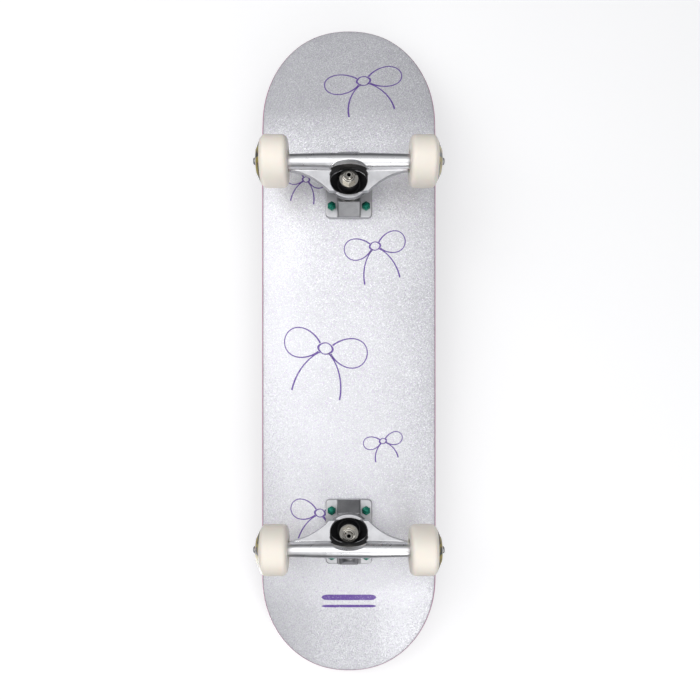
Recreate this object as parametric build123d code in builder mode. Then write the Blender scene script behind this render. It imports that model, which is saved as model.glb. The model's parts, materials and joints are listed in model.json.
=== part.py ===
"""A complete skateboard: a seven-ply deck, two standard-kingpin trucks and four bearing wheels.

Millimetres. The board stands on its wheels: the floor is Z = 0, +Z is up, the nose points along +Y
and X = Y = 0 is the middle of the deck. Every truck piece is drawn in its truck's own frame, whose
origin is the middle of the bolt pattern on the underside of the deck, with Y outward to the nearer
end of the board and Z away from the deck.
"""

import os
from math import asin, atan2, cos, radians, sin

from build123d import *

# ---------------------------------------------------------------- driving dimensions
# Deck
wheelbase = 365.0  # between the inner bolts of the two trucks
nose_length = 188.0  # outer front bolts to the tip of the nose, in plan
tail_length = 157.0  # outer rear bolts to the tip of the tail, in plan
deck_width = 213.0
deck_thickness = 11.0
nose_taper = 128.0  # length over which the outline rounds off to the tip
tail_taper = 124.0
outline_power = 2.1  # superellipse exponent: 2 is an ellipse, more is blunter
kick_angle = 20.0
kick_radius = 150.0
nose_flat = 22.0  # level deck between the outer bolts and the start of the kick
tail_flat = 19.0
concave_flat_margin = 2.1  # flat strip left each side of the base plate
concave_radius = 320.0
deck_edge_round = 3.0
grip_thickness = 0.9
grip_inset = 3.4  # from the edge of the deck to the edge of the grip tape

# Mounting hardware
bolt_spacing_x = 41.3
bolt_spacing_y = 54.0
bolt_radius = 2.4
bolt_length = 25.4
bolt_head_radius = 4.8
bolt_head_height = 2.7
bolt_clearance = 0.35
nut_across_flats = 9.5
nut_height = 4.0
nut_collar_height = 1.8
nut_collar_radius = 4.1

# Base plate
plate_side_margin = 7.25  # bolts to the sides of the plate
plate_inner_margin = 13.0  # bolts to the end that faces the other truck
plate_outer_margin = 10.5
plate_corner = 5.0
plate_thickness = 6.5
plate_edge_round = 1.2
block_width = 26.0
block_end_height = 9.0
block_shoulder = 5.0  # level step of the block past its sloping seat

# Kingpin, bushings and washers, placed along the kingpin from the steering centre
centre_y = -9.5
centre_drop = 20.0  # from the height of the axle to the steering centre
kingpin_lean = 10.0  # towards the axle, degrees
kingpin_radius = 4.75
kingpin_bore = 2.3
kingpin_fit = 0.1
kingpin_head_radius = 7.5
kingpin_head_height = 6.0
kingpin_head_low = -33.0
kingpin_tip = 23.0
seat_floor = -4.0  # board side of the hanger's bushing floor
seat_top = 1.0  # road side of that floor
board_bushing_height = 12.0
board_bushing_radius = 12.6
road_bushing_height = 11.0
road_bushing_foot = 12.4
road_bushing_head = 10.9
bushing_bore = 5.0
bushing_waist = 1.0  # how far the ends of the board bushing draw in
bushing_shoulder = 1.5
bushing_edge = 0.8
bushing_foot_height = 1.0
board_washer_radius = 13.0
board_washer_thickness = 1.5
road_washer_radius = 10.7
road_washer_thickness = 2.0
kingpin_nut_flats = 14.3
kingpin_nut_height = 5.4
kingpin_nut_collar_height = 1.6
kingpin_nut_collar_radius = 6.85

# Pivot
pivot_y = 24.5
pivot_z = 13.5
pivot_radius = 5.0
pivot_clearance = 0.1
cup_wall = 2.1
cup_mouth = 3.0  # from the centre of the pivot ball to the mouth of the cup
pivot_boss_radius = 11.0
pivot_boss_depth = 16.0
boss_end_height = 10.5
boss_slope = (10.0, 18.0)  # run and rise of the boss's sloping outer face

# Hanger
axle_y = 10.4
axle_height = 55.0  # above the underside of the deck
barrel_radius = 9.4  # at the middle
barrel_end_radius = 8.1
ring_half_width = 24.6
ring_inner_reach = 22.4  # steering centre to the end of the ring
ring_outer_reach = 22.0  # steering centre to the side of the ring under the axle
ring_shoulder_height = 5.8
ring_shoulder_step = 1.7
ring_rim_height = 9.0
pocket_half_width = 21.4
pocket_inner_reach = 16.6
pocket_outer_reach = 13.2
scallop_low = 59.8  # where the opening starts to cut into the road side of the barrel
scallop_high = 65.5
scallop_along = 5.9  # how far outward the opening reaches below the scallop
scallop_run = 4.6  # how much further it reaches at the top of the scallop
ring_foot_radius = 17.0
floor_hole_radius = 7.4
bushing_pocket_radius = 13.6
web_reach = 67.0  # how far along the barrel the webs run
web_drop = 11.5  # from the axle to the board side of the webs
web_thickness = 9.5
web_run_in = 0.6  # how far the webs' ends run into the barrel
web_waist_across = 41.0  # a point on each web's hollow edge
web_waist_along = 2.2
web_root_across = 22.5  # where that edge meets the ring
web_root_along = -12.5
stem_length = 23.0
stem_shoulder = 12.0
stem_radius = 8.6
rib_half_width = 7.5
rib_cover = 3.0  # how far the rib stops short of the axle's height at its ends
rib_root = (-8.0, 10.0)  # from the pivot
rib_heel = (8.0, -3.0)  # from the steering centre
rib_knee = 12.0
bushing_room = 14.4

# Axle, wheels and bearings
axle_radius = 4.0
axle_length = 216.0
axle_chamfer = 0.8
wheel_middle = 86.7  # middle of the truck to the middle of the wheel
wheel_radius = 29.0
wheel_width = 36.0
wheel_tread = 9.0  # middle of the wheel to the outer end of the tread
wheel_lip = 12.6  # middle of the wheel to the lip where the outer cone ends
wheel_lip_radius = 25.0
wheel_mouth_flare = 1.2  # from the bearing's seat to the mouth
wheel_hub_rim = 1.3  # flat rim round the mouth
wheel_lip_round = 4.0
wheel_tread_round = 5.5
wheel_back_round = 8.0
bearing_radius = 11.0
bearing_width = 7.0
bearing_gap = 10.0
bearing_stop_radius = 9.6
race_land_outer = 9.0
race_land_inner = 6.0
ball_pitch = 7.5
ball_radius = 1.985
ball_clearance = 0.05
ball_count = 7
shield_thickness = 0.4
shield_inset = 0.3
shield_inner_radius = 6.4
shield_step = 0.5  # how far the shield's seat is let into the outer race
speed_ring_radius = 6.0
speed_ring_thickness = 1.0
axle_nut_flats = 12.7
axle_nut_height = 4.6
axle_nut_collar_height = 1.9
axle_nut_collar_radius = 5.8

# ---------------------------------------------------------------- what follows from them
deck_length = wheelbase + 2 * bolt_spacing_y + nose_length + tail_length
half_width = deck_width / 2
deck_height = wheel_radius + axle_height  # floor to the flat underside of the deck
plate_width = bolt_spacing_x + 2 * plate_side_margin
plate_inner = bolt_spacing_y / 2 + plate_inner_margin
plate_outer = bolt_spacing_y / 2 + plate_outer_margin
flat_half = plate_width / 2 + concave_flat_margin
nose_tip = deck_length / 2
tail_tip = -deck_length / 2
front_pattern = nose_tip - nose_length - bolt_spacing_y / 2
rear_pattern = tail_tip + tail_length + bolt_spacing_y / 2
plate_length = plate_inner + plate_outer
plate_middle = (plate_outer - plate_inner) / 2
stack = deck_thickness + grip_thickness
board_washer_low = seat_floor - board_bushing_height - board_washer_thickness
road_washer_low = seat_top + road_bushing_height
nut_low = road_washer_low + road_washer_thickness
cup_radius = pivot_radius + pivot_clearance + cup_wall
bearing_face = bearing_gap / 2 + bearing_width
hanger_half = wheel_middle - bearing_face - speed_ring_thickness
overrun = 12.0  # how far a cutting or swept body runs past what it shapes

wheel_mouth_radius = bearing_radius + wheel_mouth_flare
wheel_hub_radius = wheel_mouth_radius + wheel_hub_rim
centre_z = axle_height - centre_drop
web_low = axle_height - web_drop

lean = radians(kingpin_lean)
kingpin_axis = (0, sin(lean), cos(lean))
centre = (0, centre_y, centre_z)
steer_slope = atan2(centre_z - pivot_z, pivot_y - centre_y)
steer_axis = (0, -cos(steer_slope), sin(steer_slope))
pivot = (0, pivot_y, pivot_z)


# ---------------------------------------------------------------- frames and shared shapes
def seat(base, origin, axis=(0, 0, 1)):
    """A plane at a point of the truck's frame, facing along a direction of that frame."""
    start = base.from_local_coords(Vector(*origin))
    toward = base.from_local_coords(Vector(*axis)) - base.origin
    return Plane(origin=start, x_dir=base.x_dir, z_dir=toward)


def side(base):
    """The truck's own side view: X is outward along the board, Y is away from the deck."""
    return Plane(origin=base.origin, x_dir=base.y_dir, z_dir=base.x_dir)


def turn(points, at, mode=Mode.ADD):
    """Revolve a closed profile of (radius, height) points about the Z axis of a plane."""
    half = Plane(origin=at.origin, x_dir=at.x_dir, z_dir=-at.y_dir)
    with BuildSketch(half) as profile:
        with BuildLine():
            Polyline(*points, close=True)
        make_face()
    revolve(profile.sketch, axis=Axis(at.origin, at.z_dir), mode=mode)


def post(at, radius, low, high, mode=Mode.ADD):
    """A round bar on the Z axis of a plane, between two heights."""
    with BuildSketch(at.offset(low)) as disc:
        Circle(radius)
    extrude(disc.sketch, amount=high - low, mode=mode)


def ring(at, outer, inner, low, high):
    """A plain ring on the Z axis of a plane, between two heights."""
    with BuildSketch(at.offset(low)) as annulus:
        Circle(outer)
        Circle(inner, mode=Mode.SUBTRACT)
    extrude(annulus.sketch, amount=high - low)


def hex_nut(at, low, flats, height, collar_radius, collar_height, bore):
    """A hexagon nut with a round locking collar and a plain bore."""
    with BuildSketch(at.offset(low)) as hexagon:
        RegularPolygon(radius=flats / 2, side_count=6, major_radius=False)
    extrude(hexagon.sketch, amount=height)
    post(at, collar_radius, low, low + height + collar_height)
    post(at, bore, low, low + height + collar_height, mode=Mode.SUBTRACT)


def save(piece, label):
    """Name a finished piece and write it."""
    piece.part.label = label
    export_step(piece.part, f"parts/{label}.step")


os.makedirs("parts", exist_ok=True)


# ---------------------------------------------------------------- deck and grip tape
def keel():
    """The side line of the board's underside, from past the tail to past the nose."""
    bend = radians(kick_angle)
    nose_bend = front_pattern + bolt_spacing_y / 2 + nose_flat
    tail_bend = rear_pattern - bolt_spacing_y / 2 - tail_flat
    reach = max(nose_length, tail_length)
    turned = (kick_radius * sin(bend), deck_height + kick_radius * (1 - cos(bend)))
    straight = (reach * cos(bend), reach * sin(bend))
    tail_end = (tail_bend - turned[0], turned[1])
    nose_end = (nose_bend + turned[0], turned[1])
    Line((tail_end[0] - straight[0], tail_end[1] + straight[1]), tail_end)
    JernArc(tail_end, (cos(bend), -sin(bend)), kick_radius, kick_angle)
    Line((tail_bend, deck_height), (nose_bend, deck_height))
    JernArc((nose_bend, deck_height), (1, 0), kick_radius, kick_angle)
    Line(nose_end, (nose_end[0] + straight[0], nose_end[1] + straight[1]))


def concave(low, high):
    """The section across the board between two heights: a flat strip and two rising sides."""
    spread = asin((half_width + overrun - flat_half) / (concave_radius - stack))

    def on_side(hand, height, angle):
        radius = concave_radius - height
        across = flat_half + radius * sin(angle)
        return (hand * across, concave_radius - radius * cos(angle))

    with BuildSketch() as section:
        with BuildLine():
            for hand in (-1, 1):
                for height in (low, high):
                    ThreePointArc(*[on_side(hand, height, spread * k / 2) for k in range(3)])
                Line(on_side(hand, low, spread), on_side(hand, high, spread))
            for height in (low, high):
                Line((-flat_half, height), (flat_half, height))
        make_face()
    return section.sketch


def end_curve(tip, taper, inset):
    """Half a superellipse, from one side of the board round its tip to the other."""
    wide = half_width - inset
    outward = 1 if tip > 0 else -1
    steps = 16
    points = []
    for k in range(steps + 1):
        angle = radians(180 * k / steps)
        hand = 1 if k <= steps / 2 else -1
        across = hand * wide * abs(cos(angle)) ** (2 / outline_power)
        along = (taper - inset) * abs(sin(angle)) ** (2 / outline_power)
        points.append((across, outward * (abs(tip) - taper + along)))
    Spline(*points, tangents=[(0, outward), (0, -outward)])


def outline(inset):
    """The board seen from above: straight sides and a superellipse at each end."""
    with BuildSketch() as plan:
        with BuildLine():
            end_curve(nose_tip, nose_taper, inset)
            end_curve(tail_tip, tail_taper, inset)
            for hand in (-1, 1):
                wide = hand * (half_width - inset)
                Line((wide, tail_tip + tail_taper), (wide, nose_tip - nose_taper))
        make_face()
    return plan.sketch


def layer(low, high, inset):
    """One bent layer of the board, swept from tail to nose and cut to the outline."""
    section = concave(low, high)
    plan = outline(inset)
    with BuildLine(Plane.YZ) as path:
        keel()
    start = Plane(origin=path.line @ 0, x_dir=(-1, 0, 0), z_dir=path.line % 0)
    with BuildPart() as bent:
        with BuildSketch(start):
            add(section)
        sweep(path=path.line)
        with BuildSketch():
            add(plan)
        extrude(amount=deck_height + nose_length, mode=Mode.INTERSECT)
    return bent.part


def rim_edges(board):
    """The edges that run round the outline of the board, above and below."""
    walls = [face for face in board.faces() if abs(face.normal_at().Z) < 0.01]
    around = [edge for wall in walls for edge in wall.edges()]
    return [edge for edge in around if abs((edge % 0.5).Z) < 0.9]


truck_places = {
    "front": Plane(origin=(0, front_pattern, deck_height), x_dir=(-1, 0, 0), z_dir=(0, 0, -1)),
    "rear": Plane(origin=(0, rear_pattern, deck_height), x_dir=(1, 0, 0), z_dir=(0, 0, -1)),
}


def bolt_places():
    """The four bolts of one truck."""
    return GridLocations(bolt_spacing_x, bolt_spacing_y, 2, 2)


def bolt_head(base, spot, gap, mode=Mode.ADD):
    """A countersunk head, flush with the top of the grip tape."""
    at = seat(base, (spot.position.X, spot.position.Y, -stack))
    turn([(0, 0), (bolt_head_radius + gap, 0), (bolt_radius + gap, bolt_head_height),
          (0, bolt_head_height)], at, mode=mode)


deck_blank = layer(0, deck_thickness, 0)
with BuildPart() as deck:
    add(deck_blank)
    fillet(rim_edges(deck), deck_edge_round)
    for base in truck_places.values():
        with BuildSketch(base.offset(-deck_thickness)):
            with bolt_places():
                Circle(bolt_radius + bolt_clearance)
        extrude(amount=deck_thickness, mode=Mode.SUBTRACT)
        for spot in bolt_places():
            bolt_head(base, spot, bolt_clearance, mode=Mode.SUBTRACT)
save(deck, "deck")

grip_blank = layer(deck_thickness, stack, grip_inset)
with BuildPart() as grip_tape:
    add(grip_blank)
    for base in truck_places.values():
        with BuildSketch(base.offset(-stack)):
            with bolt_places():
                Circle(bolt_head_radius + bolt_clearance)
        extrude(amount=grip_thickness, mode=Mode.SUBTRACT)
save(grip_tape, "grip_tape")


# ---------------------------------------------------------------- trucks
def build_hardware(base, end):
    """Four countersunk bolts through the deck and their locking nuts on the base plate."""
    with BuildPart() as bolts:
        for spot in bolt_places():
            bolt_head(base, spot, 0)
            at = seat(base, (spot.position.X, spot.position.Y, -stack))
            post(at, bolt_radius, bolt_head_height, bolt_length)
    save(bolts, f"{end}_mounting_bolts")

    with BuildPart() as nuts:
        for spot in bolt_places():
            at = seat(base, (spot.position.X, spot.position.Y, 0))
            hex_nut(at, plate_thickness, nut_across_flats, nut_height, nut_collar_radius,
                    nut_collar_height, bolt_radius)
    save(nuts, f"{end}_mounting_nuts")


def build_baseplate(base, end):
    """The base plate: bolt pads, the kingpin block and the pivot boss."""
    king = seat(base, centre, kingpin_axis)
    swivel = seat(base, pivot, steer_axis)
    half_block = board_washer_radius
    inner_top = (centre_y + board_washer_low * sin(lean) - half_block * cos(lean),
                 centre_z + board_washer_low * cos(lean) + half_block * sin(lean))
    outer_top = (inner_top[0] + 2 * half_block * cos(lean), inner_top[1] - 2 * half_block * sin(lean))
    with BuildPart() as baseplate:
        with BuildSketch(seat(base, (0, plate_middle, 0))):
            RectangleRounded(plate_width, plate_length, plate_corner)
        extrude(amount=plate_thickness)
        fillet(baseplate.faces().sort_by(Axis(base.origin, base.z_dir))[-1].edges(), plate_edge_round)
        with BuildSketch(side(base)):
            with BuildLine():
                Polyline((-plate_inner, 0), (-plate_inner, block_end_height), inner_top, outer_top,
                         (outer_top[0] + block_shoulder, block_end_height), (plate_outer, block_end_height),
                         (plate_outer, 0), close=True)
            make_face()
        extrude(amount=block_width / 2, both=True)
        post(swivel, pivot_boss_radius, -pivot_boss_depth, cup_mouth)
        with BuildSketch(side(base)):
            with BuildLine():
                slope_end = (plate_outer - boss_slope[0], boss_end_height + boss_slope[1])
                Polyline((-plate_inner, 0), (-plate_inner, axle_height), (slope_end[0], axle_height),
                         slope_end, (plate_outer, boss_end_height), (plate_outer, 0), close=True)
            make_face()
        extrude(amount=plate_width, both=True, mode=Mode.INTERSECT)
        with BuildSketch(seat(base, (0, plate_middle, 0))):
            RectangleRounded(plate_width, plate_length, plate_corner)
        extrude(amount=axle_height, mode=Mode.INTERSECT)
        post(king, kingpin_radius + kingpin_fit, kingpin_head_low, seat_floor, mode=Mode.SUBTRACT)
        post(king, kingpin_head_radius + kingpin_fit, kingpin_head_low - overrun,
             kingpin_head_low + kingpin_head_height, mode=Mode.SUBTRACT)
        post(swivel, cup_radius, -cup_radius, cup_mouth + overrun, mode=Mode.SUBTRACT)
        with BuildSketch(base):
            with bolt_places():
                Circle(bolt_radius + bolt_clearance)
        extrude(amount=plate_thickness, mode=Mode.SUBTRACT)
    save(baseplate, f"{end}_baseplate")

    with BuildPart() as pivot_cup:
        post(swivel, cup_radius, -cup_radius, cup_mouth)
        bore = pivot_radius + pivot_clearance
        post(swivel, bore, 0, cup_mouth, mode=Mode.SUBTRACT)
        with Locations(swivel.origin):
            Sphere(bore, mode=Mode.SUBTRACT)
    save(pivot_cup, f"{end}_pivot_cup")


def build_kingpin_stack(base, end):
    """The hollow kingpin with its washers, bushings and nut."""
    king = seat(base, centre, kingpin_axis)
    with BuildPart() as kingpin:
        post(king, kingpin_head_radius, kingpin_head_low, kingpin_head_low + kingpin_head_height)
        post(king, kingpin_radius, kingpin_head_low, kingpin_tip)
        chamfer(kingpin.faces().sort_by(Axis(king.origin, king.z_dir))[-1].edges(), axle_chamfer)
        post(king, kingpin_bore, kingpin_head_low, kingpin_tip, mode=Mode.SUBTRACT)
    save(kingpin, f"{end}_kingpin")

    with BuildPart() as board_washer:
        ring(king, board_washer_radius, bushing_bore, board_washer_low,
             board_washer_low + board_washer_thickness)
    save(board_washer, f"{end}_board_washer")

    with BuildPart() as board_bushing:
        low = board_washer_low + board_washer_thickness
        waist = board_bushing_radius - bushing_waist
        turn([(bushing_bore, low), (waist, low), (board_bushing_radius, low + bushing_shoulder),
              (board_bushing_radius, seat_floor - bushing_shoulder), (waist, seat_floor),
              (bushing_bore, seat_floor)], king)
    save(board_bushing, f"{end}_board_bushing")

    with BuildPart() as road_bushing:
        turn([(bushing_bore, seat_top), (road_bushing_foot - bushing_edge, seat_top),
              (road_bushing_foot, seat_top + bushing_foot_height),
              (road_bushing_head, road_washer_low - bushing_edge),
              (road_bushing_head - bushing_edge, road_washer_low),
              (bushing_bore, road_washer_low)], king)
    save(road_bushing, f"{end}_road_bushing")

    with BuildPart() as road_washer:
        ring(king, road_washer_radius, bushing_bore, road_washer_low, nut_low)
    save(road_washer, f"{end}_road_washer")

    with BuildPart() as kingpin_nut:
        hex_nut(king, nut_low, kingpin_nut_flats, kingpin_nut_height, kingpin_nut_collar_radius,
                kingpin_nut_collar_height, kingpin_radius)
    save(kingpin_nut, f"{end}_kingpin_nut")


def egg_outline(at, half_width, outer_reach, inner_reach):
    """An oval whose outward and inward halves differ in length."""
    with BuildSketch(at) as egg:
        with BuildLine():
            EllipticalCenterArc((0, 0), half_width, outer_reach, 0, arc_size=180)
            EllipticalCenterArc((0, 0), half_width, inner_reach, 180, arc_size=180)
        make_face()
    return egg.sketch


def ring_outline(at, inset):
    """The outside of the hanger's bushing ring."""
    return egg_outline(at, ring_half_width - inset, ring_outer_reach - inset, ring_inner_reach - inset)


def build_hanger(base, end):
    """The hanger: axle barrel, bushing ring, webs, and the stem down to the pivot."""
    king = seat(base, centre, kingpin_axis)
    swivel = seat(base, pivot, steer_axis)
    barrel = Plane(origin=seat(base, (0, axle_y, axle_height)).origin, x_dir=base.z_dir,
                   z_dir=base.x_dir)
    with BuildPart() as hanger:
        turn([(0, -hanger_half), (barrel_end_radius, -hanger_half), (barrel_radius, -ring_half_width),
              (barrel_radius, ring_half_width), (barrel_end_radius, hanger_half), (0, hanger_half)],
             barrel)
        # bushing ring: a bowl from a stepped rim down to the floor
        shoulder = ring_outline(king.offset(ring_shoulder_height), 0)
        with BuildSketch(king.offset(seat_floor)) as foot:
            Circle(ring_foot_radius)
        loft([shoulder.face(), foot.sketch.face()])
        rim = ring_outline(king.offset(ring_shoulder_height), ring_shoulder_step)
        extrude(rim, amount=ring_rim_height - ring_shoulder_height)
        # webs from the ring to the barrel
        web_end = axle_y - barrel_radius + web_run_in
        web_waist = centre_y + web_waist_along
        web_root = centre_y + web_root_along
        with BuildSketch(base.offset(web_low)) as web:
            with BuildLine():
                for hand in (-1, 1):
                    ThreePointArc((hand * web_reach, web_end), (hand * web_waist_across, web_waist),
                                  (hand * web_root_across, web_root))
                    Line((hand * web_reach, web_end), (hand * web_reach, axle_y))
                Line((-web_reach, axle_y), (web_reach, axle_y))
                Line((-web_root_across, web_root), (web_root_across, web_root))
            make_face()
        extrude(web.sketch, amount=web_thickness)
        # stem and rib
        turn([(0, 0), (pivot_radius, 0), (pivot_radius, cup_mouth + 1), (stem_radius, stem_shoulder),
              (stem_radius, stem_length), (0, stem_length)], swivel)
        with Locations(swivel.origin):
            Sphere(pivot_radius)
        with BuildSketch(side(base)) as rib:
            with BuildLine():
                Polyline((pivot_y + rib_root[0], pivot_z + rib_root[1]),
                         (centre_y + rib_heel[0], centre_z + rib_heel[1]),
                         (centre_y + rib_knee, axle_height - rib_cover), (axle_y, axle_height),
                         (axle_y + barrel_radius - rib_cover, axle_height - rib_cover), close=True)
            make_face()
        extrude(rib.sketch, amount=rib_half_width, both=True)
        # pocket, floor hole, bushing room and axle bore
        mouth = egg_outline(king.offset(ring_rim_height), pocket_half_width, pocket_outer_reach,
                            pocket_inner_reach)
        with BuildSketch(king.offset(seat_top)) as pocket:
            Circle(bushing_pocket_radius)
        loft([mouth.face(), pocket.sketch.face()], mode=Mode.SUBTRACT)
        sections = [mouth.face()]
        for height, run in ((scallop_low, 0), (scallop_high, scallop_run)):
            at = seat(base, (0, centre_y, height))
            outer_reach = scallop_along - centre_y + run
            section = egg_outline(at, pocket_half_width, outer_reach, ring_inner_reach)
            sections.append(section.face())
        loft(sections, ruled=True, mode=Mode.SUBTRACT)
        post(king, floor_hole_radius, seat_floor - overrun, seat_top + overrun, mode=Mode.SUBTRACT)
        post(king, bushing_room, board_washer_low - overrun, seat_floor, mode=Mode.SUBTRACT)
        post(barrel, axle_radius, -hanger_half, hanger_half, mode=Mode.SUBTRACT)
    save(hanger, f"{end}_hanger")

    with BuildPart() as axle:
        post(barrel, axle_radius, -axle_length / 2, axle_length / 2)
        ends = axle.faces().filter_by(GeomType.PLANE)
        chamfer(ends.edges(), axle_chamfer)
    save(axle, f"{end}_axle")


for end, base in truck_places.items():
    build_hardware(base, end)
    build_baseplate(base, end)
    build_kingpin_stack(base, end)
    build_hanger(base, end)


# ---------------------------------------------------------------- wheels and bearings
def both_bearings():
    """The inner end of each bearing and the direction out of the wheel, as (height, hand)."""
    return ((bearing_gap / 2, 1), (-bearing_gap / 2, -1))


def span(start, hand, near, far):
    """The lower and upper height of a slice measured outward from a bearing's inner end."""
    return sorted((start + hand * near, start + hand * far))


def build_wheel(hub, name):
    """One wheel with its two bearings, speed rings and axle nut. Z of the hub plane is outward."""
    with BuildPart() as wheel:
        stop = bearing_gap / 2
        bore = [(bearing_stop_radius, stop), (bearing_radius, stop), (bearing_radius, bearing_face),
                (wheel_mouth_radius, wheel_width / 2)]
        face = [(wheel_hub_radius, wheel_width / 2), (wheel_lip_radius, wheel_lip),
                (wheel_radius, wheel_tread), (wheel_radius, -wheel_width / 2)]
        turn(bore + face + [(radius, -height) for radius, height in reversed(bore)], hub)
        rounds = ((wheel_radius, wheel_tread, wheel_tread_round),
                  (wheel_lip_radius, wheel_lip, wheel_lip_round),
                  (wheel_radius, -wheel_width / 2, wheel_back_round))
        for radius, height, rounding in rounds:
            middle = hub.offset(height).origin
            circles = wheel.edges().filter_by(GeomType.CIRCLE)
            rim = [edge for edge in circles
                   if abs(edge.radius - radius) < 0.01 and (edge.arc_center - middle).length < 0.01]
            fillet(rim, rounding)
    save(wheel, f"{name}_wheel")

    with BuildPart() as outer_races:
        for start, hand in both_bearings():
            low, high = span(start, hand, 0, bearing_width)
            ring(hub, bearing_radius, race_land_outer, low, high)
            low, high = span(start, hand, bearing_width - shield_inset - shield_thickness,
                             bearing_width)
            post(hub, race_land_outer + shield_step, low, high, mode=Mode.SUBTRACT)
            with Locations(hub.offset(start + hand * bearing_width / 2)):
                Torus(ball_pitch, ball_radius + ball_clearance, mode=Mode.SUBTRACT)
    save(outer_races, f"{name}_outer_races")

    with BuildPart() as inner_races:
        for start, hand in both_bearings():
            low, high = span(start, hand, 0, bearing_width)
            ring(hub, race_land_inner, axle_radius, low, high)
            with Locations(hub.offset(start + hand * bearing_width / 2)):
                Torus(ball_pitch, ball_radius + ball_clearance, mode=Mode.SUBTRACT)
    save(inner_races, f"{name}_inner_races")

    with BuildPart() as balls:
        for start, hand in both_bearings():
            with Locations(hub.offset(start + hand * bearing_width / 2)):
                with PolarLocations(ball_pitch, ball_count):
                    Sphere(ball_radius)
    save(balls, f"{name}_balls")

    with BuildPart() as shields:
        for start, hand in both_bearings():
            low, high = span(start, hand, bearing_width - shield_inset - shield_thickness,
                             bearing_width - shield_inset)
            ring(hub, race_land_outer + shield_step, shield_inner_radius, low, high)
    save(shields, f"{name}_shields")

    with BuildPart() as speed_rings:
        for start, hand in both_bearings():
            low, high = span(start, hand, bearing_width, bearing_width + speed_ring_thickness)
            ring(hub, speed_ring_radius, axle_radius, low, high)
    save(speed_rings, f"{name}_speed_rings")

    with BuildPart() as axle_nut:
        hex_nut(hub, bearing_face + speed_ring_thickness, axle_nut_flats, axle_nut_height,
                axle_nut_collar_radius, axle_nut_collar_height, axle_radius)
    save(axle_nut, f"{name}_axle_nut")


for end, base in truck_places.items():
    for side_name, hand in (("left", -1), ("right", 1)):
        across = hand * wheel_middle
        hub = Plane(origin=(across, base.origin.Y + axle_y * base.y_dir.Y, wheel_radius),
                    x_dir=(0, 0, 1), z_dir=(hand, 0, 0))
        build_wheel(hub, f"{end}_{side_name}")
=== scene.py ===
"""Finish for a complete skateboard: sparkle deck, grip tape, cast trucks, hardware and wheels."""

import json
from math import cos, hypot, pi, radians, sin, sqrt, tan

import bmesh
import bpy
from mathutils import Matrix, Vector


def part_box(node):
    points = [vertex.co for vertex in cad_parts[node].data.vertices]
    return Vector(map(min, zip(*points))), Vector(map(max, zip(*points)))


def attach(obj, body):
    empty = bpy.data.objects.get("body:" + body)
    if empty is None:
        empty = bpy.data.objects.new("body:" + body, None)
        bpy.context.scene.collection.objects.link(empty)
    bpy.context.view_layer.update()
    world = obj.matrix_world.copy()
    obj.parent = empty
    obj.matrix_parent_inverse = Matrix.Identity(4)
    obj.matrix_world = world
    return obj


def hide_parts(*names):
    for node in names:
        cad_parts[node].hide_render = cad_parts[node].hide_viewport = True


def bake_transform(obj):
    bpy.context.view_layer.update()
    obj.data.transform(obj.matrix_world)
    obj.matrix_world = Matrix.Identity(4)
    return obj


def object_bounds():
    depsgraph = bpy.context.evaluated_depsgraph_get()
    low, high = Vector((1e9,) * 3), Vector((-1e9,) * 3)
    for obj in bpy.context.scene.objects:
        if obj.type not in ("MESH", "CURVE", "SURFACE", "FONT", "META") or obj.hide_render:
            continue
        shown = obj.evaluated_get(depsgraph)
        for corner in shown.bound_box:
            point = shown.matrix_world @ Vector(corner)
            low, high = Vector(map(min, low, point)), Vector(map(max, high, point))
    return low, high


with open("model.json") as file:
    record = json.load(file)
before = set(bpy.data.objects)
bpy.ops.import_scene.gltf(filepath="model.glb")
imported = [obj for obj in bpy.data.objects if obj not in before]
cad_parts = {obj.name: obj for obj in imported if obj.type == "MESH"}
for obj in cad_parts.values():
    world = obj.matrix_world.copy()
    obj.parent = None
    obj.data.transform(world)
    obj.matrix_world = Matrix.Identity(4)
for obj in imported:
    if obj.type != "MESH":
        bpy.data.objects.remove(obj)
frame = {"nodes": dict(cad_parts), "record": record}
CAD_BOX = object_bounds()

bl_info = {
    "name": "Skateboard finish",
    "version": (1, 0, 0),
    "blender": (4, 5, 0),
    "location": "3D View > Sidebar > Skateboard",
    "description": "Builds the visible pieces and materials of a complete skateboard",
    "category": "Object",
}

MM = 0.001
WELD = 1e-6
BODIES = frame["record"]["behaviour"]["bodies"]
ENDS = ("front", "rear")
SIDES = ("left", "right")
BOARD = "board"


# ---------------------------------------------------------------- places read from the frame
def middle(node):
    """The middle of a CAD node's box."""
    low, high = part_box(node)
    return (low + high) / 2


def size(node):
    """The lengths of a CAD node's box."""
    low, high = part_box(node)
    return high - low


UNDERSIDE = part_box("front_baseplate")[1].z
DECK_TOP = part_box("grip_tape")[0].z
DECK_LOW, DECK_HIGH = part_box("deck")
PLY_STACK = DECK_TOP - UNDERSIDE
HALF_WIDTH = DECK_HIGH.x
OUTWARD = {"front": 1, "rear": -1}
PATTERN = {end: middle(f"{end}_mounting_nuts").y for end in ENDS}
BOLT_HEAD = 4.8 * MM
BOLT_Y = size("front_mounting_bolts").y / 2 - BOLT_HEAD
BOLT_X = size("front_mounting_bolts").x / 2 - BOLT_HEAD


def hanger_body(end):
    """The body that steers with one truck."""
    return f"{end}_hanger_group"


def bolt_places(end):
    """The four bolt centres of one truck on the underside of the deck."""
    for across in (-1, 1):
        for along in (-1, 1):
            yield Vector((across * BOLT_X, PATTERN[end] + along * BOLT_Y, UNDERSIDE))


def kingpin_line(end):
    """A point on the kingpin at the board-side washer's face, and the direction off the deck."""
    board, road = middle(f"{end}_board_washer"), middle(f"{end}_road_washer")
    return board, (road - board).normalized()


def frame_body(node):
    """The body that carries a CAD node."""
    return next(body for body, nodes in BODIES.items() if node in nodes)


def hub_line(end, side):
    """The middle of a wheel and the direction out of it."""
    centre = middle(f"{end}_{side}_wheel")
    return centre, Vector((1 if centre.x > 0 else -1, 0, 0))


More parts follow.
